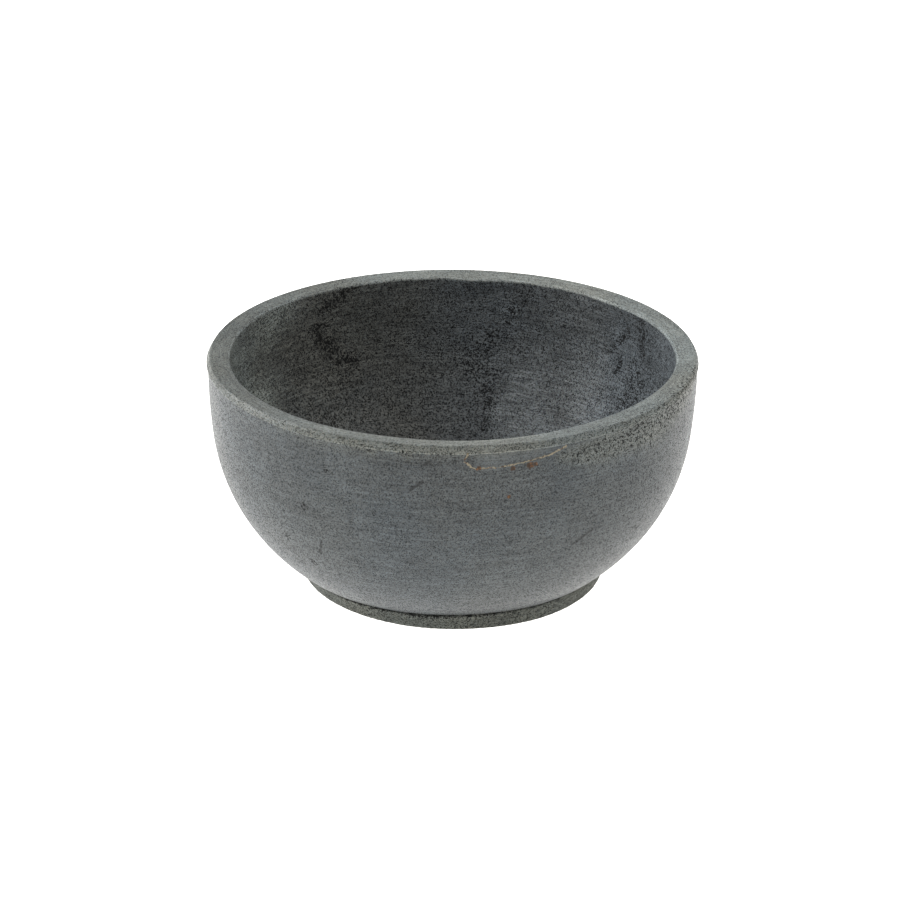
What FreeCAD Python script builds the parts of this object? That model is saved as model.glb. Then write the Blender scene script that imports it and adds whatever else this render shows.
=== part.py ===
import FreeCAD, Part
import math
import os

# A stone mortar bowl on a turned foot.
#
# The bowl is cut on a lathe from one block of volcanic stone: foot, belly, rim and hollow are
# all the same block, so the model is one solid of revolution about +Z.  The origin is the
# centre of the flat underside of the foot, and all lengths are in millimetres.

# ---- Driving dimensions ----

BOWL_DIAMETER = 200.0       # over the lip, the widest place
BOWL_HEIGHT = 95.5          # table to the top of the rim
FOOT_DIAMETER = 124.6       # at the table
FOOT_HEIGHT = 7.0           # table to the corner where the foot meets the belly

# The rim: a nearly level flat, a steep bevel outside it, and a small step under the bevel.
RIM_FLAT_WIDTH = 8.0
RIM_FLAT_FALL = 0.9         # the flat is this much lower at the hollow than at the bevel
BEVEL_WIDTH = 1.4
BEVEL_HEIGHT = 2.4
LIP_OVERHANG = 0.6          # how far the lip stands out past the belly
LIP_STEP_HEIGHT = 0.4

# The outside: a gently curved wall below the lip, then the round of the belly.
UPRIGHT_HEIGHT = 90.0       # where the wall stands upright, inside and out
WALL_CURVE_RADIUS = 240.0
BELLY_TOP_HEIGHT = 64.5     # where the wall hands over to the belly
BELLY_CURVE_RADIUS = 81.2

# The hollow: the same gentle wall, a tighter round below it, and a slightly dished floor.
HOLLOW_ROUND_RADIUS = 60.0
FLOOR_CURVE_RADIUS = 220.0
BASE_THICKNESS = 15.0       # stone under the middle of the floor

# How far each exposed edge is rubbed back along both of its sides.
HOLLOW_EDGE_ROUNDING = 0.8
FLAT_EDGE_ROUNDING = 0.4
FOOT_EDGE_ROUNDING = 0.8

# ---- Derived sizes ----

LIP_RADIUS = BOWL_DIAMETER / 2
LIP_HEIGHT = BOWL_HEIGHT - BEVEL_HEIGHT
WALL_RADIUS = LIP_RADIUS - LIP_OVERHANG
FLAT_OUTER_RADIUS = LIP_RADIUS - BEVEL_WIDTH
HOLLOW_RADIUS = FLAT_OUTER_RADIUS - RIM_FLAT_WIDTH
HOLLOW_EDGE_HEIGHT = BOWL_HEIGHT - RIM_FLAT_FALL
FOOT_RADIUS = FOOT_DIAMETER / 2

ORIGIN = FreeCAD.Vector(0, 0, 0)
AXIS = FreeCAD.Vector(0, 0, 1)


def point(radius, height):
    """A point of the outline, which lies in the XZ plane."""
    return FreeCAD.Vector(radius, 0, height)


def toward(start, target, distance):
    """The point at a distance from start, in the direction of target."""
    return start + (target - start).normalize() * distance


def outer_point_at_height(centre, radius, height):
    """The point of a circle at a height, on the side away from the axis."""
    return point(centre.x + math.sqrt(radius ** 2 - (height - centre.z) ** 2), height)


def centre_touching_inside(centre_a, radius_a, centre_b, radius_b, radius):
    """Centre of the circle of a radius that touches two larger circles from inside, to the
    right of the way from centre_a to centre_b."""
    reach_a = radius_a - radius
    reach_b = radius_b - radius
    span = centre_b - centre_a
    along = (reach_a ** 2 - reach_b ** 2 + span.Length ** 2) / (2 * span.Length)
    across = math.sqrt(reach_a ** 2 - along ** 2)
    forward = FreeCAD.Vector(span).normalize()
    rightward = FreeCAD.Vector(forward.z, 0, -forward.x)
    return centre_a + forward * along + rightward * across


def line(start, end):
    return Part.LineSegment(start, end).toShape()


def arc(centre, radius, start, end):
    """The shorter arc about centre from start to end."""
    middle = toward(centre, (start + end) / 2, radius)
    return Part.Arc(start, middle, end).toShape()


def rounding(start, corner, end):
    """The arc that touches the two sides of a corner at start and end, which are equally far
    from the corner."""
    side = (start - corner).Length
    halfway = (start + end) / 2
    half_angle = math.acos((halfway - corner).Length / side)
    radius = side * math.tan(half_angle)
    centre = toward(corner, halfway, side / math.cos(half_angle))
    return arc(centre, radius, start, end)


def belly_outline():
    """The outside from the corner at the foot up to the step under the lip."""
    wall_centre = point(WALL_RADIUS - WALL_CURVE_RADIUS, UPRIGHT_HEIGHT)
    belly_top = outer_point_at_height(wall_centre, WALL_CURVE_RADIUS, BELLY_TOP_HEIGHT)
    belly_centre = toward(belly_top, wall_centre, BELLY_CURVE_RADIUS)
    foot_corner = outer_point_at_height(belly_centre, BELLY_CURVE_RADIUS, FOOT_HEIGHT)
    step_height = LIP_HEIGHT - LIP_STEP_HEIGHT
    wall_top = outer_point_at_height(wall_centre, WALL_CURVE_RADIUS, step_height)
    belly = arc(belly_centre, BELLY_CURVE_RADIUS, foot_corner, belly_top)
    wall = arc(wall_centre, WALL_CURVE_RADIUS, belly_top, wall_top)
    return [belly, wall], foot_corner, wall_top


def hollow_outline():
    """The inside from just below the rim's inner edge down to the middle of the floor."""
    wall_centre = point(HOLLOW_RADIUS - WALL_CURVE_RADIUS, UPRIGHT_HEIGHT)
    floor_centre = point(0, BASE_THICKNESS + FLOOR_CURVE_RADIUS)
    round_centre = centre_touching_inside(
        wall_centre, WALL_CURVE_RADIUS, floor_centre, FLOOR_CURVE_RADIUS, HOLLOW_ROUND_RADIUS)
    top_height = HOLLOW_EDGE_HEIGHT - HOLLOW_EDGE_ROUNDING
    wall_top = outer_point_at_height(wall_centre, WALL_CURVE_RADIUS, top_height)
    round_top = toward(wall_centre, round_centre, WALL_CURVE_RADIUS)
    floor_rim = toward(floor_centre, round_centre, FLOOR_CURVE_RADIUS)
    floor_middle = point(0, BASE_THICKNESS)
    wall = arc(wall_centre, WALL_CURVE_RADIUS, wall_top, round_top)
    turn = arc(round_centre, HOLLOW_ROUND_RADIUS, round_top, floor_rim)
    floor = arc(floor_centre, FLOOR_CURVE_RADIUS, floor_rim, floor_middle)
    return [wall, turn, floor], wall_top, floor_middle


def foot_outline(foot_corner):
    """The flat underside, its rubbed edge and the foot's wall up to the belly."""
    edge = point(FOOT_RADIUS, 0)
    edge_start = toward(edge, ORIGIN, FOOT_EDGE_ROUNDING)
    edge_end = toward(edge, foot_corner, FOOT_EDGE_ROUNDING)
    underside = line(ORIGIN, edge_start)
    wall = line(edge_end, foot_corner)
    return [underside, rounding(edge_start, edge, edge_end), wall]


def rim_outline(belly_top, hollow_top):
    """The step, the bevel and the flat, from the top of the belly to the top of the hollow."""
    lip = point(LIP_RADIUS, LIP_HEIGHT)
    flat_edge = point(FLAT_OUTER_RADIUS, BOWL_HEIGHT)
    hollow_edge = point(HOLLOW_RADIUS, HOLLOW_EDGE_HEIGHT)
    bevel_end = toward(flat_edge, lip, FLAT_EDGE_ROUNDING)
    flat_start = toward(flat_edge, hollow_edge, FLAT_EDGE_ROUNDING)
    flat_end = toward(hollow_edge, flat_edge, (hollow_edge - hollow_top).Length)
    step = line(belly_top, lip)
    bevel = line(lip, bevel_end)
    outer_edge = rounding(bevel_end, flat_edge, flat_start)
    flat = line(flat_start, flat_end)
    inner_edge = rounding(flat_end, hollow_edge, hollow_top)
    return [step, bevel, outer_edge, flat, inner_edge]


def stone_bowl():
    """The whole bowl: half of its section, turned about the axis."""
    belly, foot_corner, belly_top = belly_outline()
    hollow, hollow_top, floor_middle = hollow_outline()
    foot = foot_outline(foot_corner)
    rim = rim_outline(belly_top, hollow_top)
    axis_line = line(floor_middle, ORIGIN)
    section = Part.Face(Part.Wire(foot + belly + rim + hollow + [axis_line]))
    return section.revolve(ORIGIN, AXIS, 360)


os.makedirs("parts", exist_ok=True)
stone_bowl().exportStep("parts/stone_bowl.step")
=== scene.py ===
import math

import bpy
from mathutils import Matrix, Vector, noise


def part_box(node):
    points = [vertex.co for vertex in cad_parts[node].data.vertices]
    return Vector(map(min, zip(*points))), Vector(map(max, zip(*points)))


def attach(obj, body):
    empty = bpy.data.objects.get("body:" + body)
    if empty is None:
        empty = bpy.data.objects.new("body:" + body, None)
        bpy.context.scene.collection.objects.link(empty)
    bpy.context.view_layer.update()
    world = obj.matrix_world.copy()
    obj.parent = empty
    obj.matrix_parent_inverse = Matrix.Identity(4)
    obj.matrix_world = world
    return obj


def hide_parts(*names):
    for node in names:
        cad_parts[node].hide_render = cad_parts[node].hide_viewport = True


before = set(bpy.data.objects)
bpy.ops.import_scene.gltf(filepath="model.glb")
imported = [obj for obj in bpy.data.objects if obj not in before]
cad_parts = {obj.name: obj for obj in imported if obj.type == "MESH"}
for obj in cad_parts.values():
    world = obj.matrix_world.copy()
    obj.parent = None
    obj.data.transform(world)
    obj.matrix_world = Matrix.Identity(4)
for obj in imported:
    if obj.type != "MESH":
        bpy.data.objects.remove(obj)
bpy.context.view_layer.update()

# A stone mortar bowl: one turned block of blue-grey volcanic stone.
#
# The CAD bowl is a clean solid of revolution.  This script builds the same bowl as one closed
# mesh that also has the marks of the hand: an uneven inner edge, a worn lip, a coarse bevel and
# a rough foot.  Its stone is one node material.  Lengths are in metres, angles in degrees, and
# azimuth 0 points along +X and 90 along +Y, so the camera looks at azimuth 270.

MM = 0.001

# ---------------------------------------------------------------------------------------------
# Outline of the bowl, the same as the CAD part's
# ---------------------------------------------------------------------------------------------

LIP_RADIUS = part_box("stone_bowl")[1].x
BOWL_HEIGHT = 95.5 * MM
FOOT_RADIUS = 62.3 * MM
FOOT_HEIGHT = 7.0 * MM
STRIP_RISE = 2.0 * MM       # a groove at the foot's corner starts this far above it
STRIP_FALL = 0.4 * MM       # and ends this far below it

RIM_FLAT_WIDTH = 8.0 * MM
RIM_FLAT_FALL = 0.9 * MM
BEVEL_WIDTH = 1.4 * MM
BEVEL_HEIGHT = 2.4 * MM
LIP_OVERHANG = 0.6 * MM
LIP_STEP_HEIGHT = 0.4 * MM

UPRIGHT_HEIGHT = 90.0 * MM
WALL_CURVE_RADIUS = 240.0 * MM
BELLY_TOP_HEIGHT = 64.5 * MM
BELLY_CURVE_RADIUS = 81.2 * MM
HOLLOW_ROUND_RADIUS = 60.0 * MM
FLOOR_CURVE_RADIUS = 220.0 * MM
BASE_THICKNESS = 15.0 * MM

HOLLOW_EDGE_ROUNDING = 0.8 * MM
FLAT_EDGE_ROUNDING = 0.4 * MM
FOOT_EDGE_ROUNDING = 0.8 * MM

LIP_HEIGHT = BOWL_HEIGHT - BEVEL_HEIGHT
WALL_RADIUS = LIP_RADIUS - LIP_OVERHANG
FLAT_OUTER_RADIUS = LIP_RADIUS - BEVEL_WIDTH
HOLLOW_RADIUS = FLAT_OUTER_RADIUS - RIM_FLAT_WIDTH
HOLLOW_EDGE_HEIGHT = BOWL_HEIGHT - RIM_FLAT_FALL

# ---------------------------------------------------------------------------------------------
# Mesh density
# ---------------------------------------------------------------------------------------------

SEGMENTS = 720              # round the widest rings; halved again and again toward the axis
FULL_RING_RADIUS = 61.0 * MM
WALL_STEP = 3.2 * MM        # between rings on the smooth outside
HOLLOW_STEP = 2.2 * MM      # and on the hollow's wall, which is pitted
FLOOR_STEP = 3.0 * MM
FLAT_STEP = 1.3 * MM
EDGE_STEP = 0.3 * MM
ROUGH_STEP = 0.75 * MM      # where the stone is coarse: bevel and foot
BORDER_STEP = 0.35 * MM     # before the border of a zone, so that the border is sharp
TORN_REACH = 6 * LIP_STEP_HEIGHT    # the stone is coarse this far below the lip
LEAST_RING_SIZE = 30        # a ring with no more points than this isn't halved


def toward(start, target, distance):
    """The point at a distance from start, in the direction of target."""
    return start + (target - start).normalized() * distance


def outer_point_at_height(centre, radius, height):
    """The point of a circle at a height, on the side away from the axis."""
    return Vector((centre.x + math.sqrt(radius ** 2 - (height - centre.y) ** 2), height))


def centre_touching_inside(centre_a, radius_a, centre_b, radius_b, radius):
    """Centre of the circle of a radius that touches two larger circles from inside, to the
    right of the way from centre_a to centre_b."""
    reach_a = radius_a - radius
    reach_b = radius_b - radius
    span = centre_b - centre_a
    along = (reach_a ** 2 - reach_b ** 2 + span.length ** 2) / (2 * span.length)
    across = math.sqrt(reach_a ** 2 - along ** 2)
    forward = span.normalized()
    rightward = Vector((forward.y, -forward.x))
    return centre_a + forward * along + rightward * across


def run_shares(length, step):
    """Shares of a run in even steps, and one more just before the border at its end."""
    count = max(1, round(length / step))
    shares = [i / count for i in range(count)]
    if length / count > 2 * BORDER_STEP:
        shares.append(1 - BORDER_STEP / length)
    return shares


def line_points(start, end, step):
    """Points from start up to but not including end, about a step apart."""
    return [start.lerp(end, share) for share in run_shares((end - start).length, step)]


def arc_points(centre, start, end, step):
    """Points on the shorter arc about centre from start up to but not including end."""
    first = start - centre
    turn = first.angle_signed(end - centre)
    points = []
    for share in run_shares(first.length * abs(turn), step):
        cosine, sine = math.cos(-turn * share), math.sin(-turn * share)
        spoke = Vector((first.x * cosine - first.y * sine, first.x * sine + first.y * cosine))
        points.append(centre + spoke)
    return points


def rounding_points(start, corner, end, step):
    """Points on the arc that touches the two sides of a corner at start and end."""
    side = (start - corner).length
    halfway = (start + end) / 2
    half_angle = math.acos((halfway - corner).length / side)
    centre = toward(corner, halfway, side / math.cos(half_angle))
    return arc_points(centre, start, end, step)


class Outline:
    """The section's points in order, from the middle of the floor, over the rim, down the
    outside and back to the axis.  Each point keeps the name of the zone that it belongs to."""

    def __init__(self):
        self.points = []
        self.zones = []

    def add(self, zone, points):
        self.points += points
        self.zones += [zone] * len(points)


WALL_CENTRE = Vector((WALL_RADIUS - WALL_CURVE_RADIUS, UPRIGHT_HEIGHT))
BELLY_TOP = outer_point_at_height(WALL_CENTRE, WALL_CURVE_RADIUS, BELLY_TOP_HEIGHT)
BELLY_CENTRE = toward(BELLY_TOP, WALL_CENTRE, BELLY_CURVE_RADIUS)


def outside_point(height):
    """The outline's point on the outer wall or belly at a height."""
    if height > BELLY_TOP_HEIGHT:
        return outer_point_at_height(WALL_CENTRE, WALL_CURVE_RADIUS, height)
    return outer_point_at_height(BELLY_CENTRE, BELLY_CURVE_RADIUS, height)


def bowl_outline():
    outline = Outline()

    wall_centre = Vector((HOLLOW_RADIUS - WALL_CURVE_RADIUS, UPRIGHT_HEIGHT))
    floor_centre = Vector((0, BASE_THICKNESS + FLOOR_CURVE_RADIUS))
    round_centre = centre_touching_inside(
        wall_centre, WALL_CURVE_RADIUS, floor_centre, FLOOR_CURVE_RADIUS, HOLLOW_ROUND_RADIUS)
    floor_middle = Vector((0, BASE_THICKNESS))
    floor_rim = toward(floor_centre, round_centre, FLOOR_CURVE_RADIUS)
    round_top = toward(wall_centre, round_centre, WALL_CURVE_RADIUS)
    hollow_top = outer_point_at_height(
        wall_centre, WALL_CURVE_RADIUS, HOLLOW_EDGE_HEIGHT - HOLLOW_EDGE_ROUNDING)
    outline.add("hollow", arc_points(floor_centre, floor_middle, floor_rim, FLOOR_STEP))
    outline.add("hollow", arc_points(round_centre, floor_rim, round_top, HOLLOW_STEP))
    outline.add("hollow", arc_points(wall_centre, round_top, hollow_top, HOLLOW_STEP))

    hollow_edge = Vector((HOLLOW_RADIUS, HOLLOW_EDGE_HEIGHT))
    flat_edge = Vector((FLAT_OUTER_RADIUS, BOWL_HEIGHT))
    lip = Vector((LIP_RADIUS, LIP_HEIGHT))
    flat_start = toward(hollow_edge, flat_edge, (hollow_edge - hollow_top).length)
    flat_end = toward(flat_edge, hollow_edge, FLAT_EDGE_ROUNDING)
    bevel_start = toward(flat_edge, lip, FLAT_EDGE_ROUNDING)
    outline.add("inner_edge", rounding_points(hollow_top, hollow_edge, flat_start, EDGE_STEP))
    outline.add("flat", line_points(flat_start, flat_end, FLAT_STEP))
    outline.add("outer_edge", rounding_points(flat_end, flat_edge, bevel_start, EDGE_STEP))
    outline.add("bevel", line_points(bevel_start, lip, EDGE_STEP))

    wall_top = outside_point(LIP_HEIGHT - LIP_STEP_HEIGHT)
    below_lip = outside_point(LIP_HEIGHT - TORN_REACH)
    strip_top = outside_point(FOOT_HEIGHT + STRIP_RISE)
    foot_corner = outside_point(FOOT_HEIGHT)
    outline.add("step", line_points(lip, wall_top, EDGE_STEP))
    outline.add("belly", arc_points(WALL_CENTRE, wall_top, below_lip, ROUGH_STEP))
    outline.add("belly", arc_points(WALL_CENTRE, below_lip, BELLY_TOP, WALL_STEP))
    outline.add("belly", arc_points(BELLY_CENTRE, BELLY_TOP, strip_top, WALL_STEP))
    outline.add("strip", arc_points(BELLY_CENTRE, strip_top, foot_corner, EDGE_STEP))

    foot_edge = Vector((FOOT_RADIUS, 0))
    foot_end = toward(foot_edge, foot_corner, FOOT_EDGE_ROUNDING)
    underside_start = toward(foot_edge, Vector((0, 0)), FOOT_EDGE_ROUNDING)
    strip_end = toward(foot_corner, foot_edge, STRIP_FALL)
    outline.add("strip", line_points(foot_corner, strip_end, EDGE_STEP))
    outline.add("foot", line_points(strip_end, foot_end, ROUGH_STEP))
    outline.add("foot", rounding_points(foot_end, foot_edge, underside_start, EDGE_STEP))
    outline.add("underside", line_points(underside_start, Vector((0, 0)), WALL_STEP))
    outline.add("underside", [Vector((0, 0))])
    return outline


# ---------------------------------------------------------------------------------------------
# Marks of the hand, as shifts of the outline that change round the bowl
# ---------------------------------------------------------------------------------------------

# Where the rim's inner edge runs off its circle: azimuth, width in azimuth and outward shift.
INNER_EDGE_RUN_OUT = (
    (40, 14, -1.0 * MM),
    (83, 13, -2.6 * MM),
    (112, 20, 0.4 * MM),
    (143, 36, 1.3 * MM),
    (232, 30, 0.5 * MM),
    (274, 24, 0.8 * MM),
    (320, 38, -1.4 * MM),
)
RUN_OUT_DEPTH = 14.0 * MM   # the run-out dies away this far down the hollow

LIP_WORN = ((262, 60), (334, 46))    # azimuth and width of where the lip is rubbed away
LIP_LEAST = 0.1             # share of the overhang that is left there
LIP_RUN_OUT = 8.0 * MM      # the wear ends this far below the lip
LIP_DROP = 0.8 * MM         # and how far the bevel runs down there

LEAN = 0.4                  # the body leans by this on its foot, up at +X and down at -X
FOOT_OFFSET = 1.0 * MM      # the foot was cut this far off centre, toward +X

GROOVE_DEPTH = 0.8 * MM     # the tool's groove where the belly meets the foot
GROOVE_LEAST = 0.4
GROOVE_AZIMUTH = 262
GROOVE_WIDTH = 75
GROOVE_WAVES = 22           # how finely its depth wavers round the bowl
GROOVE_RAGGEDNESS = 0.6

TURNING_WAVE = 0.12 * MM    # slow unevenness of the turned walls
FLAT_WAVE = 0.10 * MM
COARSE_RELIEF = 0.12 * MM   # grain torn out of the bevel and the foot
FINE_RELIEF = 0.03 * MM     # the same on the smooth stone
WAVES = 28                  # waves per metre of the slow unevenness
GRAINS = 520                # and of the torn grain
SMALL_GRAINS = 1100


def swell(azimuth, centre, width):
    """A smooth swell in azimuth: 1 at the centre, 0 a width away and beyond."""
    distance = abs((azimuth - centre + 180) % 360 - 180) / width
    return 0.5 + 0.5 * math.cos(math.pi * min(distance, 1.0))


def inner_edge_shift(azimuth):
    return sum(shift * swell(azimuth, at, width) for at, width, shift in INNER_EDGE_RUN_OUT)


def lip_wear(azimuth):
    """1 where the lip is rubbed away and 0 where it is whole."""
    return max(swell(azimuth, at, width) for at, width in LIP_WORN)


def rim_shift(point, zone, azimuth):
    """Outward shift of a point: the inner edge's run-out, the worn lip and the groove."""
    if zone in ("hollow", "inner_edge"):
        below = max(0.0, HOLLOW_EDGE_HEIGHT - point.y)
        return inner_edge_shift(azimuth) * max(0.0, 1 - below / RUN_OUT_DEPTH) ** 2
    if zone == "flat":
        across = (FLAT_OUTER_RADIUS - point.x) / RIM_FLAT_WIDTH
        return inner_edge_shift(azimuth) * across
    if zone == "strip":
        return -groove_depth(azimuth)
    if zone in ("bevel", "step"):
        proud = max(0.0, point.x - WALL_RADIUS)
        return -proud * (1 - LIP_LEAST) * lip_wear(azimuth)
    return 0.0


def groove_share(azimuth):
    """How strong the tool's groove at the foot is: full at the front and weak behind."""
    return GROOVE_LEAST + (1 - GROOVE_LEAST) * swell(azimuth, GROOVE_AZIMUTH, GROOVE_WIDTH)


def groove_depth(azimuth):
    """The groove's depth, which wavers as the tool chattered."""
    angle = math.radians(azimuth)
    waver = noise.noise(Vector((math.cos(angle), math.sin(angle), 0)) * GROOVE_WAVES)
    return GROOVE_DEPTH * groove_share(azimuth) * (1 + GROOVE_RAGGEDNESS * waver)


def lip_drop(point, zone, azimuth):
    """How far the worn lip has come down, at the front only."""
    if zone not in ("bevel", "step", "belly"):
        return 0.0
    reach = BEVEL_HEIGHT if point.y > LIP_HEIGHT else LIP_RUN_OUT
    share = max(0.0, 1 - abs(point.y - LIP_HEIGHT) / reach)
    return LIP_DROP * share * swell(azimuth, *LIP_WORN[0])


def stand(place):
    """Leans the body on its foot and sets the foot off centre.  The underside stays flat."""
    share = min(place.z / FOOT_HEIGHT, 1.0)
    slope = math.tan(math.radians(LEAN)) * share
    offset = FOOT_OFFSET * (1 - share)
    return Vector((place.x + offset, place.y, place.z + place.x * slope))


# How much of the coarse relief each zone has, from 0 to 1
COARSENESS = {
    "hollow": 0.25,
    "inner_edge": 0.1,
    "flat": 0.15,
    "outer_edge": 0.1,
    "bevel": 0.4,
    "step": 0.6,
    "belly": 0.0,
    "strip": 1.0,
    "foot": 1.0,
    "underside": 0.7,
}


def relief(place, zone):
    """Depth of the slow unevenness and of the torn grain at a place."""
    wave = FLAT_WAVE if zone in ("flat", "inner_edge") else TURNING_WAVE
    slow = noise.noise(place * WAVES) * wave
    grain = noise.noise(place * GRAINS) + 0.5 * noise.noise(place * SMALL_GRAINS)
    depth = FINE_RELIEF + (COARSE_RELIEF - FINE_RELIEF) * COARSENESS[zone]
    return slow + grain * depth


# ---------------------------------------------------------------------------------------------
# The bowl's mesh
# ---------------------------------------------------------------------------------------------

def ring_size(radius):
    """How many points a ring has: fewer, by halving, as it nears the axis."""
    count = SEGMENTS
    limit = FULL_RING_RADIUS
    while radius < limit and count % 2 == 0 and count > LEAST_RING_SIZE:
        count //= 2
        limit /= 2
    return count


def outline_normals(points):
    """Unit vectors out of the stone at each outline point."""
    normals = []
    last = len(points) - 1
    for i in range(last + 1):
        along = points[min(i + 1, last)] - points[max(i - 1, 0)]
        normals.append(Vector((-along.y, along.x)).normalized())
    return normals


def ring_points(point, normal, zone, count):
    places = []
    for i in range(count):
        angle = math.tau * i / count
        azimuth = math.degrees(angle)
        cosine, sine = math.cos(angle), math.sin(angle)
        plain = Vector((point.x * cosine, point.x * sine, point.y))
        depth = relief(plain, zone)
        radius = point.x + rim_shift(point, zone, azimuth) + normal.x * depth
        height = max(point.y - lip_drop(point, zone, azimuth) + normal.y * depth, 0.0)
        places.append(stand(Vector((radius * cosine, radius * sine, height))))
    return places


def bridge(start_a, count_a, start_b, count_b):
    """Faces between two rings with equal counts, or with one count twice the other."""
    faces = []
    if count_a == count_b:
        for i in range(count_a):
            j = (i + 1) % count_a
            faces.append((start_a + i, start_b + i, start_b + j, start_a + j))
        return faces
    if count_a > count_b:
        for i in range(count_b):
            near, middle, far = (start_a + (2 * i + k) % count_a for k in range(3))
            left, right = start_b + i, start_b + (i + 1) % count_b
            faces += [(near, left, middle), (middle, left, right), (middle, right, far)]
        return faces
    for i in range(count_a):
        left, right = start_a + i, start_a + (i + 1) % count_a
        near, middle, far = (start_b + (2 * i + k) % count_b for k in range(3))
        faces += [(left, near, middle), (left, middle, right), (right, middle, far)]
    return faces


def fan(tip, start, count, outward):
    """Faces from a pole to its first ring."""
    faces = []
    for i in range(count):
        j = (i + 1) % count
        faces.append((tip, start + i, start + j) if outward else (tip, start + j, start + i))
    return faces


def lengths_along(points):
    """The outline's length from its start to each of its points."""
    lengths = [0.0]
    for before, after in zip(points, points[1:]):
        lengths.append(lengths[-1] + (after - before).length)
    return lengths


def build_bowl_mesh():
    """The bowl's closed mesh, and each vertex's zone and distance along the outline."""
    outline = bowl_outline()
    normals = outline_normals(outline.points)
    travelled = lengths_along(outline.points)
    vertices = []
    faces = []
    zones = []
    distances = []
    previous = None
    last = len(outline.points) - 1
    for i, (point, normal, zone) in enumerate(zip(outline.points, normals, outline.zones)):
        start = len(vertices)
        if i in (0, last):
            count = 1
            vertices.append(stand(Vector((0, 0, point.y))))
        else:
            count = ring_size(point.x)
            vertices += ring_points(point, normal, zone, count)
        zones += [zone] * count
        distances += [travelled[i]] * count
        if i == 1:
            faces += fan(previous[0], start, count, True)
        elif i == last:
            faces += fan(start, *previous, False)
        elif i:
            faces += bridge(*previous, start, count)
        previous = (start, count)
    mesh = bpy.data.meshes.new("stone_bowl_surface")
    mesh.from_pydata(vertices, [], faces)
    mesh.update()
    mesh.shade_smooth()
    return mesh, zones, distances


# How strongly each zone has each trait that the material asks for
ZONE_MASKS = {
    "inside": {"hollow": 1.0, "inner_edge": 0.4},
    "flat": {"inner_edge": 0.6, "flat": 1.0, "outer_edge": 1.0},
    "coarse": {"outer_edge": 0.1, "bevel": 0.2, "step": 1.0, "strip": 1.0, "foot": 1.0,
               "underside": 1.0},
    "bevel": {"bevel": 1.0, "step": 1.0},
    "foot": {"strip": 1.0, "foot": 1.0, "underside": 1.0},
    # the inner arris, made lighter for wear and for a painted highlight
    "arris": {"inner_edge": 1.0},
    "lip_line": {"step": 1.0},
}

# Chains of pits and coarse ground: the group of zones they lie in, how strong they are, and
# points of azimuth, height and half width, in degrees and millimetres.
PIT_CHAINS = (
    ("hollow", 0.9, ((118.5, 94.0, 2.0), (121.5, 91.0, 2.5), (126.0, 87.0, 2.5),
                     (129.0, 86.0, 1.5))),
    ("hollow", 0.9, ((133.0, 77.5, 1.5), (130.5, 79.0, 2.0), (127.0, 78.0, 2.0))),
    ("hollow", 0.9, ((130.0, 73.5, 3.0), (127.0, 69.0, 3.5), (124.0, 62.5, 3.0),
                     (119.0, 60.5, 2.0))),
    ("hollow", 0.5, ((135.0, 70.0, 4.0), (138.5, 62.5, 4.0))),
    ("hollow", 0.5, ((125.0, 55.0, 8.0), (119.5, 47.0, 8.0))),
    ("hollow", 0.5, ((143.0, 47.5, 4.0), (134.5, 41.0, 5.0))),
    ("hollow", 0.75, ((69.0, 90.5, 2.0), (70.0, 87.0, 2.5), (73.0, 82.0, 2.5), (75.0, 75.0, 2.0))),
    ("hollow", 0.65, ((78.5, 68.0, 3.5), (84.0, 58.5, 4.5), (84.5, 53.0, 4.0), (79.0, 52.0, 3.5))),
    ("hollow", 0.7, ((78.5, 45.5, 3.0), (77.5, 40.5, 2.5), (78.5, 33.0, 2.0))),
    ("hollow", 0.8, ((30.0, 94.0, 1.5), (28.5, 91.0, 2.5), (28.5, 84.0, 3.0), (28.0, 78.0, 2.5))),
    ("hollow", 0.95, ((40.5, 76.0, 1.3), (34.5, 84.5, 1.3))),
    ("hollow", 0.95, ((36.5, 72.5, 1.3), (38.0, 65.0, 1.5))),
    ("hollow", 0.72, ((31.0, 71.0, 3.5), (28.5, 65.0, 6.0), (30.0, 57.0, 5.0))),
    ("hollow", 0.6, ((32.0, 55.0, 3.0), (36.5, 49.0, 2.5))),
    ("hollow", 0.6, ((24.5, 87.5, 1.3), (24.0, 79.0, 1.3))),
    ("hollow", 0.6, ((17.5, 90.0, 1.3), (17.0, 82.0, 1.3))),
    ("flat", 0.6, ((118.0, 95.0, 2.0), (122.0, 95.0, 2.0))),
    ("foot", 0.9, ((218.0, 6.9, 0.7), (236.0, 7.0, 1.3), (262.0, 7.1, 1.3), (288.0, 7.3, 1.0),
                   (304.0, 7.4, 0.6))),
    ("flat", 0.6, ((303.0, 95.9, 0.4), (330.0, 96.1, 0.5), (352.0, 96.2, 0.4))),
    ("outside", 0.76, ((295.0, 88.0, 2.0), (303.5, 87.5, 4.5), (313.5, 89.0, 5.0),
                       (325.5, 89.0, 5.5), (333.5, 91.5, 4.0), (343.5, 94.0, 2.5),
                       (352.0, 95.0, 1.5))),
    ("outside", 0.22, ((228.0, 92.0, 1.5), (240.0, 92.0, 2.0), (262.0, 92.0, 1.8),
                       (292.0, 93.0, 1.0))),
    ("outside", 0.55, ((244.5, 94.0, 1.0), (252.5, 91.5, 1.6))),
    ("outside", 0.55, ((256.0, 94.5, 1.0), (260.5, 91.5, 1.8))),
)
# A smooth face between the chains, given in the same way
SMOOTH_FACES = (
    ("hollow", 1.0, ((34.0, 81.0, 1.6), (34.5, 76.0, 2.4), (35.5, 71.0, 1.6))),
)
CHAIN_ZONES = {
    "hollow": ("hollow",),
    "outside": ("outer_edge", "bevel", "step", "belly"),
    "flat": ("inner_edge", "flat", "outer_edge"),
    "foot": ("strip", "foot"),
}
CHAIN_REACH = 75            # no chain matters this many degrees from its first point
CHAIN_PLATEAU = 1.6         # how far above full strength a chain's middle would be
CHAIN_FALL = 0.7            # how fast it dies away beside the chain


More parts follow.
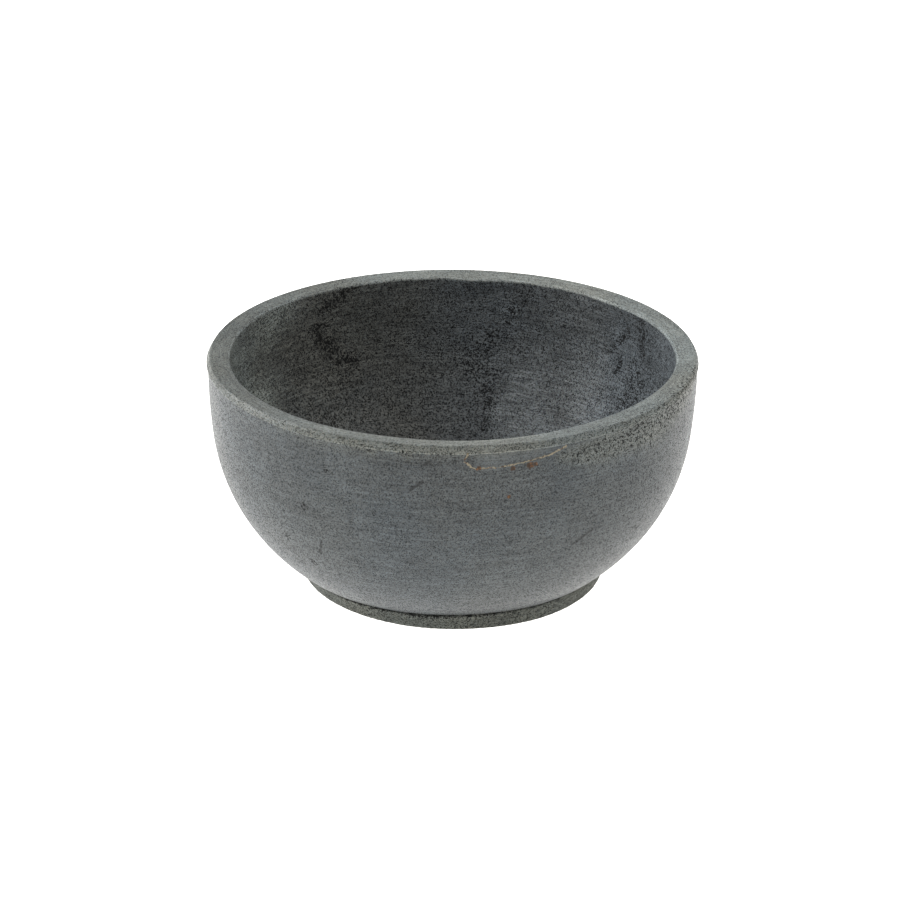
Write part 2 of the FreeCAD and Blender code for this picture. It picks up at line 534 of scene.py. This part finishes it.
def distance_to_run(place, start, end):
    """Distance to a straight run in the run's own half widths, which change along it."""
    run = end[0] - start[0]
    share = max(0.0, min(1.0, (place - start[0]).dot(run) / run.length_squared))
    width = start[1] + (end[1] - start[1]) * share
    return (place - start[0] - run * share).length / width


def chain_strength(chains, azimuth, radius, height, zone):
    """How strong the strongest chain is at a place, from 0 to 1, on the unrolled wall."""
    strongest = 0.0
    for side, strength, points in chains:
        if zone not in CHAIN_ZONES[side]:
            continue
        if abs((azimuth - points[0][0] + 180) % 360 - 180) > CHAIN_REACH:
            continue
        stops = [(Vector((math.radians(at - azimuth) * radius, tall * MM)), wide * MM)
                 for at, tall, wide in points]
        place = Vector((0, height))
        nearest = min(distance_to_run(place, a, b) for a, b in zip(stops, stops[1:]))
        share = min(1.0, CHAIN_PLATEAU * math.exp(-CHAIN_FALL * nearest ** 2))
        strongest = max(strongest, strength * share)
    return strongest


# Marks on the outside, as points of azimuth and height, in degrees and millimetres.  Spots also
# have a radius.  The seam is an old crack that iron water has filled.  It leaves the lip, turns
# along the wall and comes back to the lip, so that it bounds a lens of finer stone.
SEAM = ((273.5, 92.6), (272.7, 89.0), (275.3, 85.9), (281.7, 86.5), (287.4, 88.0), (292.1, 89.3),
        (295.9, 91.6))
SEAM_TURN = 2               # the point of the seam from which it runs along the wall
RUST_SPOTS = ((283.5, 85.4, 1.3), (287.4, 85.9, 1.7), (288.6, 86.3, 1.1), (282.8, 73.6, 1.0),
              (276.0, 86.3, 1.0))
DARK_VEINS = (
    ((264.2, 87.8), (265.4, 89.4)),
    ((261.0, 76.7), (263.5, 80.4)),
    ((300.1, 47.1), (305.0, 52.1)),
    ((237.8, 47.0), (236.2, 39.5)),
)
DARK_SPOTS = ((303.3, 45.6, 1.1), (294.2, 39.7, 0.8))
PITTED_SPOTS = ((234.7, 61.5, 2.4), (226.3, 42.7, 2.2), (232.4, 33.1, 2.6), (241.2, 79.9, 1.6),
                (252.7, 65.4, 1.6))


def outside_place(azimuth, height):
    """The place on the bowl's outside at an azimuth and a height in millimetres."""
    point = outside_point(height * MM)
    angle = math.radians(azimuth)
    return stand(Vector((point.x * math.cos(angle), point.x * math.sin(angle), point.y)))


def lens_share(azimuth, radius, height, zone):
    """1 in the lens of finer stone between the seam and the lip, and on the smooth face."""
    if zone not in ("belly", "step"):
        return chain_strength(SMOOTH_FACES, azimuth, radius, height, zone)
    bottom = SEAM[SEAM_TURN:]
    for (left, left_height), (right, right_height) in zip(bottom, bottom[1:]):
        if left <= azimuth < right:
            share = (azimuth - left) / (right - left)
            over = height - (left_height + (right_height - left_height) * share) * MM
            return max(0.0, min(1.0, over / MM))
    return 0.0


def store_masks(mesh, zones, distances):
    """Keeps what the material has to know about each place as named attributes."""
    columns = {name: [shares.get(zone, 0.0) for zone in zones]
               for name, shares in ZONE_MASKS.items()}
    columns["along"] = distances
    for name in ("pitted", "lens", "groove"):
        columns[name] = []
    for vertex, zone in zip(mesh.vertices, zones):
        place = vertex.co
        azimuth = math.degrees(math.atan2(place.y, place.x)) % 360
        radius = place.xy.length
        columns["pitted"].append(chain_strength(PIT_CHAINS, azimuth, radius, place.z, zone))
        columns["lens"].append(lens_share(azimuth, radius, place.z, zone))
        # the groove's share also sets how dark the painted shade and dirt in it are
        columns["groove"].append(groove_share(azimuth) if zone == "strip" else 0.0)
    for name, values in columns.items():
        mesh.attributes.new(name, "FLOAT", "POINT").data.foreach_set("value", values)


# ---------------------------------------------------------------------------------------------
# Node recipes
# ---------------------------------------------------------------------------------------------

class Recipe:
    """Adds nodes to a material and joins them, so that a recipe reads as a formula."""

    def __init__(self, name):
        self.material = bpy.data.materials.new(name)
        self.material.use_nodes = True
        self.tree = self.material.node_tree
        self.tree.nodes.clear()

    def node(self, kind, **settings):
        made = self.tree.nodes.new(kind)
        for name, value in settings.items():
            setattr(made, name, value)
        return made

    def feed(self, socket, value):
        """Sets a socket to a number or colour, or joins it to another socket."""
        if isinstance(value, bpy.types.NodeSocket):
            self.tree.links.new(value, socket)
        elif socket.type == "RGBA" and len(value) == 3:
            socket.default_value = (*value, 1)
        else:
            socket.default_value = value

    def math(self, operation, *values):
        made = self.node("ShaderNodeMath", operation=operation)
        for socket, value in zip(made.inputs, values):
            self.feed(socket, value)
        return made.outputs[0]

    def vector_math(self, operation, *values):
        made = self.node("ShaderNodeVectorMath", operation=operation)
        for socket, value in zip(made.inputs, values):
            self.feed(socket, value)
        numeric = operation in ("LENGTH", "DISTANCE", "DOT_PRODUCT")
        return made.outputs["Value" if numeric else "Vector"]

    def scaled(self, vector, x, y, z):
        return self.vector_math("MULTIPLY", vector, (x, y, z))

    def noise(self, vector, scale, detail=2.0, roughness=0.5):
        made = self.node("ShaderNodeTexNoise")
        self.feed(made.inputs["Vector"], vector)
        made.inputs["Scale"].default_value = scale
        made.inputs["Detail"].default_value = detail
        made.inputs["Roughness"].default_value = roughness
        return made.outputs["Fac"]

    def cells(self, vector, scale):
        """Distance to the nearest of many scattered points."""
        made = self.node("ShaderNodeTexVoronoi", feature="F1")
        self.feed(made.inputs["Vector"], vector)
        made.inputs["Scale"].default_value = scale
        return made.outputs["Distance"]

    def ramp(self, value, low, high, to_low=0.0, to_high=1.0):
        """A smooth step from to_low at low to to_high at high."""
        made = self.node("ShaderNodeMapRange", interpolation_type="SMOOTHSTEP")
        for socket, number in zip(made.inputs, (value, low, high, to_low, to_high)):
            self.feed(socket, number)
        return made.outputs[0]

    def mix(self, share, first, second):
        made = self.node("ShaderNodeMix", data_type="RGBA")
        self.feed(made.inputs["Factor"], share)
        self.feed(made.inputs["A"], first)
        self.feed(made.inputs["B"], second)
        return made.outputs["Result"]

    def shade(self, colour, factor):
        """The colour made lighter or darker by a factor."""
        made = self.node("ShaderNodeVectorMath", operation="SCALE")
        self.feed(made.inputs[0], colour)
        self.feed(made.inputs["Scale"], factor)
        return made.outputs["Vector"]

    def attribute(self, name):
        return self.node("ShaderNodeAttribute", attribute_name=name).outputs["Fac"]


# Tones of the stone, as linear colour.  The torn tone is that of rough ground on the outside.
BELLY_TONE = (0.057, 0.0645, 0.068)
HOLLOW_COOL_TONE = (0.130, 0.144, 0.153)
# the stone's warm tint, made darker than the cool tone by painted shade
HOLLOW_WARM_SHADED_TONE = (0.089, 0.092, 0.085)
# painted light on the far left of the hollow
HOLLOW_PAINTED_LIGHT_TONE = (0.158, 0.172, 0.160)
FLAT_TONE = (0.164, 0.177, 0.168)
BEVEL_TONE = (0.112, 0.121, 0.114)
FOOT_TONE = (0.071, 0.076, 0.067)
TORN_TONE = (0.108, 0.114, 0.102)
# near black: painted shade in the pores and pits, and the dark veins' own colour
PORE_SHADE_AND_VEIN_TONE = (0.004, 0.004, 0.004)
SEAM_TONE = (0.225, 0.190, 0.125)
RUST_TONE = (0.120, 0.053, 0.018)
DARK_RUST_TONE = (0.034, 0.018, 0.008)

# Sides of the hollow and of the rim's flat that are painted lighter or darker: the azimuth they
# face, and the cosines at which they begin and are full. The warm side also has the stone's warm
# tint.
WARM_SHADED_SIDE = (140, 0.5, 1.0)
PAINTED_LIGHT_SIDE = (175, 0.81, 0.99)
HOLLOW_SHADE_SIDE = (18, 0.85, 1.0)
LIGHT_FADE_SIDE = (48, 0.85, 0.97)        # painted light low down and painted shade under the rim
FLAT_SHADE_SIDE = (175, 0.2, 1.0)         # of the rim's flat, with painted shade on its left
SIDE_RADIUS = 60 * MM               # nearer to the axis the sides fade into each other

# Features per metre of each layer
FINE_GRAINS = 2600
LARGE_GRAINS = 1200
PORES = 1050
PORE_PATCHES = 420
SMALL_PITS = 950
LARGE_PITS = 640
BROAD_CLOUDS = 30
SMALL_CLOUDS = 110
TINT_CLOUDS = 18
GROOVE_SHADE_AND_DIRT_FLECKS = 420
RUST_CRUMBS = 900
SEAM_BEADS = 700
SEAM_FADES = 160

TURNING_RADIUS = 100 * MM   # the circle on which the turning lines are drawn out
WOBBLE = 1.6 * MM           # how far grains push the lines of seam and veins about
WOBBLES = 800
VEIN_WIDTH = 1.0 * MM
SEAM_WIDTH = 0.44 * MM
BUMP_HEIGHT = 0.15 * MM

PLACE_MASKS = (*ZONE_MASKS, "along", "pitted", "lens", "groove")


class Stone(Recipe):
    """The bowl's stone: what its recipe has to know about a place, and each of its layers."""

    def __init__(self, name):
        super().__init__(name)
        self.place = self.node("ShaderNodeTexCoord").outputs["Object"]
        self.marks = {mark: self.attribute(mark) for mark in PLACE_MASKS}
        flat = self.scaled(self.place, 1, 1, 0)
        reach = self.math("MAXIMUM", self.vector_math("LENGTH", flat), SIDE_RADIUS)
        self.outward = self.shade(flat, self.math("DIVIDE", 1.0, reach))
        self.turning = self.turning_place(self.vector_math("NORMALIZE", flat))
        self.wobbled = self.wobbled_place()
        outside = self.math("SUBTRACT", 1.0, self.marks["inside"])
        self.torn = self.math("MULTIPLY", self.marks["pitted"], outside)
        # Painted light low on the hollow's side toward azimuth 48 and painted shade under the rim
        # there; where it is painted light low down, the grain and the pores are also fainter.
        self.light_fade_side = self.side(*LIGHT_FADE_SIDE)
        low = self.ramp(self.marks["along"], 115 * MM, 90 * MM)
        self.marks["fine"] = self.math("MULTIPLY", self.light_fade_side, low)
        patches = self.math("MULTIPLY", self.spots(PITTED_SPOTS), 0.85)
        self.marks["pitted"] = self.math("MAXIMUM", self.marks["pitted"], patches)

    def turning_place(self, ring):
        """The place as the lathe sees it: the way round on a circle, and the outline's length."""
        distance = self.node("ShaderNodeCombineXYZ")
        self.feed(distance.inputs["Z"], self.marks["along"])
        circle = self.scaled(ring, TURNING_RADIUS, TURNING_RADIUS, 0)
        return self.vector_math("ADD", circle, distance.outputs[0])

    def wobbled_place(self):
        sway = self.node("ShaderNodeTexNoise")
        self.feed(sway.inputs["Vector"], self.place)
        sway.inputs["Scale"].default_value = WOBBLES
        centred = self.vector_math("SUBTRACT", sway.outputs["Color"], (0.5, 0.5, 0.5))
        return self.vector_math("ADD", self.place, self.shade(centred, WOBBLE))

    def strength(self, base, **shares):
        """A number that each named mark raises or lowers by its share."""
        total = base
        for name, share in shares.items():
            total = self.math("MULTIPLY_ADD", self.marks[name], share, total)
        return total

    def side(self, azimuth, low, high):
        """1 on the side toward an azimuth and 0 elsewhere, with a border that drifts."""
        angle = math.radians(azimuth)
        facing = (math.cos(angle), math.sin(angle), 0)
        lean = self.vector_math("DOT_PRODUCT", self.outward, facing)
        drift = self.math("SUBTRACT", self.noise(self.place, BROAD_CLOUDS, 2.0), 0.5)
        return self.ramp(self.math("MULTIPLY_ADD", drift, 0.5, lean), low, high)

    def hollow_tone(self):
        along = self.marks["along"]
        # The stone's warm tint on the back left, with painted shade: the warm tone is darker than
        # the cool one.
        tone = self.mix(self.side(*WARM_SHADED_SIDE), HOLLOW_COOL_TONE, HOLLOW_WARM_SHADED_TONE)
        # Painted light on the far left inner wall.
        tone = self.mix(self.side(*PAINTED_LIGHT_SIDE), tone, HOLLOW_PAINTED_LIGHT_TONE)
        # Painted shade on the right inner wall.
        tone = self.shade(tone, self.ramp(self.side(*HOLLOW_SHADE_SIDE), 0.0, 1.0, 1.0, 0.68))
        # Painted shade, darker toward the bottom of the hollow.
        tone = self.shade(tone, self.ramp(along, 60 * MM, 130 * MM, 0.79, 1.0))
        # Painted light low down and painted shade under the rim, on the side toward azimuth 48.
        fade = self.ramp(along, 75 * MM, 135 * MM, 0.8, -0.35)
        return self.shade(tone, self.math("MULTIPLY_ADD", fade, self.light_fade_side, 1.0))

    def zone_tone(self):
        tone = self.mix(self.marks["inside"], BELLY_TONE, self.hollow_tone())
        tone = self.mix(self.marks["bevel"], tone, BEVEL_TONE)
        tone = self.mix(self.marks["foot"], tone, FOOT_TONE)
        tone = self.mix(self.torn, tone, TORN_TONE)
        # Painted shade on the left of the rim's flat.
        flat_shade = self.ramp(self.side(*FLAT_SHADE_SIDE), 0.0, 1.0, 1.0, 0.72)
        return self.mix(self.marks["flat"], tone, self.shade(FLAT_TONE, flat_shade))

    def cloud_factor(self):
        """Slow changes of tone."""
        broad = self.ramp(self.noise(self.place, BROAD_CLOUDS, 3.0, 0.55), 0.3, 0.7, 0.91, 1.09)
        small = self.ramp(self.noise(self.place, SMALL_CLOUDS, 2.0, 0.6), 0.3, 0.7, 0.94, 1.06)
        return self.math("MULTIPLY", broad, small)

    def turning_factor(self):
        """Broken lines that the lathe and the sanding left round the bowl."""
        fine = self.noise(self.scaled(self.turning, 90, 90, 1500), 1.0, 2.0, 0.6)
        broad = self.noise(self.scaled(self.turning, 35, 35, 500), 1.0, 2.0, 0.6)
        depth = self.strength(0.18, inside=0.12)
        lines = self.math("MULTIPLY_ADD", self.ramp(fine, 0.3, 0.7, -1.0, 1.0), depth, 1.0)
        return self.math("ADD", self.ramp(broad, 0.3, 0.7, -0.1, 0.1), lines)

    def grain_factor(self):
        """Mineral grains, fine and large.  More are dark than light."""
        contrast = self.strength(0.68, inside=0.26, coarse=0.1, pitted=0.1, lens=-0.25,
                                 flat=-0.1, fine=-0.25)
        fine = self.grains(FINE_GRAINS, contrast)
        large = self.grains(LARGE_GRAINS, self.math("MULTIPLY", contrast, 0.25))
        return self.math("MULTIPLY", fine, large)

    def grains(self, scale, contrast):
        """A factor for each grain, lower in the dark ones."""
        darkest = self.math("SUBTRACT", 1.0, contrast)
        lightest = self.math("MULTIPLY_ADD", contrast, 0.25, 1.0)
        return self.ramp(self.cell_colour(scale), 0.15, 0.55, darkest, lightest)

    def cell_colour(self, scale):
        """A colour drawn by lot for each grain of a scale."""
        made = self.node("ShaderNodeTexVoronoi", feature="F1")
        self.feed(made.inputs["Vector"], self.place)
        made.inputs["Scale"].default_value = scale
        return made.outputs["Color"]

    def grain_tint(self):
        """Grains that lean to blue or to brown."""
        lot = self.vector_math("DOT_PRODUCT", self.cell_colour(FINE_GRAINS), (1, 0, 0))
        broad = self.ramp(self.noise(self.place, TINT_CLOUDS, 2.0), 0.35, 0.65, -0.3, 0.3)
        return self.mix(self.math("ADD", lot, broad), (0.95, 1.0, 1.05), (1.05, 1.0, 0.94))

    def pores(self):
        """Depth of the open pores, from 0 to 1: more and larger ones where it is pitted."""
        reach = self.strength(0.24, inside=0.19, coarse=0.14, pitted=0.1, lens=-0.12,
                              flat=-0.03, fine=-0.07)
        many = self.ramp(self.noise(self.place, PORE_PATCHES, 2.0, 0.6), 0.3, 0.6, 0.3, 1.0)
        limit = self.math("MULTIPLY", reach, many)
        distance = self.cells(self.place, PORES)
        inner = self.math("MULTIPLY", limit, 0.6)
        return self.math("MAXIMUM", self.ramp(distance, limit, inner), self.pits())

    def pits(self):
        """Ragged pits, only where the stone is torn; the hollow has larger ones as well."""
        pitted = self.marks["pitted"]
        inside = self.math("MULTIPLY", pitted, self.marks["inside"])
        small = self.pits_above(SMALL_PITS, self.math("MULTIPLY_ADD", pitted, -0.25, 0.74))
        large = self.pits_above(LARGE_PITS, self.math("MULTIPLY_ADD", inside, -0.33, 0.84))
        return self.math("MAXIMUM", small, large)

    def pits_above(self, scale, least):
        """1 where the noise of a scale is above a level."""
        torn = self.noise(self.place, scale, 2.0, 0.7)
        return self.ramp(torn, least, self.math("ADD", least, 0.03))

    def distance_to_run(self, start, end):
        """Distance from the wobbled place to a straight run."""
        run = end - start
        reach = self.vector_math("SUBTRACT", self.wobbled, start)
        share = self.vector_math("DOT_PRODUCT", reach, run / run.length_squared)
        inside = self.node("ShaderNodeClamp")
        self.feed(inside.inputs["Value"], share)
        nearest = self.shade(run, inside.outputs[0])
        return self.vector_math("DISTANCE", reach, nearest)

    def stroke(self, points, width):
        """1 on the line through points on the outside, and 0 from a width away."""
        places = [outside_place(*point) for point in points]
        runs = [self.distance_to_run(start, end) for start, end in zip(places, places[1:])]
        nearest = runs[0]
        for run in runs[1:]:
            nearest = self.math("MINIMUM", nearest, run)
        return self.ramp(nearest, width, width * 0.3)

    def spots(self, points):
        """1 at the middle of each spot on the outside, and 0 from its edge."""
        total = 0.0
        for azimuth, height, size in points:
            distance = self.vector_math("DISTANCE", self.wobbled, outside_place(azimuth, height))
            spot = self.ramp(distance, size * MM, size * 0.6 * MM)
            total = self.math("MAXIMUM", total, spot)
        return total


def ground_colour(stone, grain, pores):
    """The stone without its veins and its seam."""
    factor = stone.math("MULTIPLY", stone.cloud_factor(), stone.turning_factor())
    factor = stone.math("MULTIPLY", factor, grain)
    # Lighter inner arris for wear and a painted highlight, lighter lip line for wear, lighter lens
    # of finer stone.
    edges = stone.strength(1.0, arris=0.55, lip_line=0.35, lens=0.16)
    factor = stone.math("MULTIPLY", factor, edges)
    # The groove at the foot is painted darker in flecks: painted shade in the crease, and dirt.
    groove_shade_and_dirt = stone.ramp(stone.noise(stone.place, GROOVE_SHADE_AND_DIRT_FLECKS), 0.35, 0.6, 0.5, 0.93)
    groove = stone.math("MULTIPLY", stone.marks["groove"], groove_shade_and_dirt)
    factor = stone.math("MULTIPLY", factor, stone.math("SUBTRACT", 1.0, groove))
    colour = stone.vector_math("MULTIPLY", stone.zone_tone(), stone.grain_tint())
    colour = stone.shade(colour, factor)
    # The pores and pits are painted near black: painted shade in the holes.
    return stone.mix(stone.math("MULTIPLY", pores, 0.95), colour, PORE_SHADE_AND_VEIN_TONE)


def with_dark_veins(stone, colour):
    veins = stone.spots(DARK_SPOTS)
    for points in DARK_VEINS:
        veins = stone.math("MAXIMUM", veins, stone.stroke(points, VEIN_WIDTH))
    return stone.mix(stone.math("MULTIPLY", veins, 0.7), colour, PORE_SHADE_AND_VEIN_TONE)


def with_seam_and_rust(stone, colour):
    dark_or_red = stone.ramp(stone.noise(stone.place, RUST_CRUMBS), 0.5, 0.63)
    rust = stone.mix(dark_or_red, DARK_RUST_TONE, RUST_TONE)
    bead = stone.ramp(stone.noise(stone.place, SEAM_BEADS), 0.53, 0.61)
    faint = stone.ramp(stone.noise(stone.place, SEAM_FADES), 0.35, 0.6, 0.75, 0.95)
    seam = stone.math("MULTIPLY", stone.stroke(SEAM, SEAM_WIDTH), faint)
    colour = stone.mix(seam, colour, stone.mix(bead, SEAM_TONE, rust))
    return stone.mix(stone.math("MULTIPLY", stone.spots(RUST_SPOTS), 0.95), colour, rust)


def stone_roughness(stone, grain, pores):
    roughness = stone.strength(0.36, inside=0.15, coarse=0.3, flat=0.1)
    roughness = stone.math("MULTIPLY_ADD", pores, 0.4, roughness)
    return stone.math("ADD", roughness, stone.ramp(grain, 0.4, 1.0, 0.35, 0.0))


def stone_bump(stone, grain, pores):
    bump = stone.node("ShaderNodeBump")
    bump.inputs["Distance"].default_value = BUMP_HEIGHT
    bump.inputs["Strength"].default_value = 0.6
    height = stone.math("SUBTRACT", stone.math("MULTIPLY", grain, 0.3), pores)
    stone.feed(bump.inputs["Height"], height)
    return bump.outputs[0]


def stone_material():
    stone = Stone("blue_grey_stone")
    pores = stone.pores()
    grain = stone.grain_factor()
    colour = ground_colour(stone, grain, pores)
    colour = with_dark_veins(stone, colour)
    colour = with_seam_and_rust(stone, colour)
    shader = stone.node("ShaderNodeBsdfPrincipled")
    stone.feed(shader.inputs["Base Color"], colour)
    stone.feed(shader.inputs["Roughness"], stone_roughness(stone, grain, pores))
    stone.feed(shader.inputs["Normal"], stone_bump(stone, grain, pores))
    shader.inputs["Specular IOR Level"].default_value = 0.22
    output = stone.node("ShaderNodeOutputMaterial")
    stone.feed(output.inputs["Surface"], shader.outputs[0])
    return stone.material


def make_bowl():
    mesh, zones, distances = build_bowl_mesh()
    store_masks(mesh, zones, distances)
    mesh.materials.append(stone_material())
    bowl = bpy.data.objects.new("turned_stone_bowl", mesh)
    bpy.context.scene.collection.objects.link(bowl)
    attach(bowl, "root")
    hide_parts("stone_bowl")


# ---------------------------------------------------------------------------------------------
# Floor, light and camera
# ---------------------------------------------------------------------------------------------

FLOOR_SIZE = 24
FLOOR_DROP = 0.05 * MM      # so that the floor and the underside aren't one plane
FLOOR_GLOW = (1, 0.985, 0.955, 1)
WHITE = (1, 1, 1)
SOFTBOX_SIZE = (1.4, 1.2)
SOFTBOX_TARGET = (0, 0, 0.05)

CAMERA_ELEVATION = 23.1
CAMERA_DISTANCE = 1.2125
CAMERA_AIM = Vector((-0.7 * MM, 0, 51.6 * MM))
CAMERA_LENS = 117.6         # millimetres
SENSOR_WIDTH = 36
CAMERA_ROLL = 0.72


def make_floor():
    """A pale floor that glows, so that it is white in the picture and lights the belly."""
    bpy.ops.mesh.primitive_plane_add(size=FLOOR_SIZE, location=(0, 0, -FLOOR_DROP))
    floor = bpy.context.object
    floor.name = "floor"
    recipe = Recipe("pale_floor")
    shader = recipe.node("ShaderNodeBsdfPrincipled")
    shader.inputs["Base Color"].default_value = (0.5, 0.5, 0.5, 1)
    shader.inputs["Roughness"].default_value = 0.8
    shader.inputs["Emission Color"].default_value = FLOOR_GLOW
    shader.inputs["Emission Strength"].default_value = 1.5
    output = recipe.node("ShaderNodeOutputMaterial")
    recipe.feed(output.inputs["Surface"], shader.outputs[0])
    floor.data.materials.append(recipe.material)


def softbox(name, place, power):
    data = bpy.data.lights.new(name, "AREA")
    data.shape = "RECTANGLE"
    data.size, data.size_y = SOFTBOX_SIZE
    data.energy = power
    data.color = WHITE
    light = bpy.data.objects.new(name, data)
    light.location = place
    aim = Vector(SOFTBOX_TARGET) - Vector(place)
    light.rotation_euler = aim.to_track_quat("-Z", "Y").to_euler()
    bpy.context.scene.collection.objects.link(light)


def make_light():
    world = bpy.data.worlds.new("studio")
    bpy.context.scene.world = world
    world.use_nodes = True
    background = world.node_tree.nodes["Background"]
    background.inputs["Color"].default_value = (*WHITE, 1)
    background.inputs["Strength"].default_value = 0.5
    softbox("left_softbox", (-1.4, 0.2, 0.7), 35)
    softbox("right_softbox", (0.9, 0.2, 1.3), 16)


def make_camera():
    data = bpy.data.cameras.new("camera")
    data.lens = CAMERA_LENS
    data.sensor_width = SENSOR_WIDTH
    camera = bpy.data.objects.new("camera", data)
    elevation = math.radians(CAMERA_ELEVATION)
    back = Vector((0, -math.cos(elevation), math.sin(elevation)))
    camera.location = CAMERA_AIM + back * CAMERA_DISTANCE
    facing = (-back).to_track_quat("-Z", "Y").to_matrix()
    roll = Matrix.Rotation(math.radians(CAMERA_ROLL), 3, "Z")
    camera.rotation_euler = (facing @ roll).to_euler()
    bpy.context.scene.collection.objects.link(camera)
    bpy.context.scene.camera = camera


bpy.context.scene.view_settings.view_transform = "Standard"
make_bowl()
make_floor()
make_light()
make_camera()
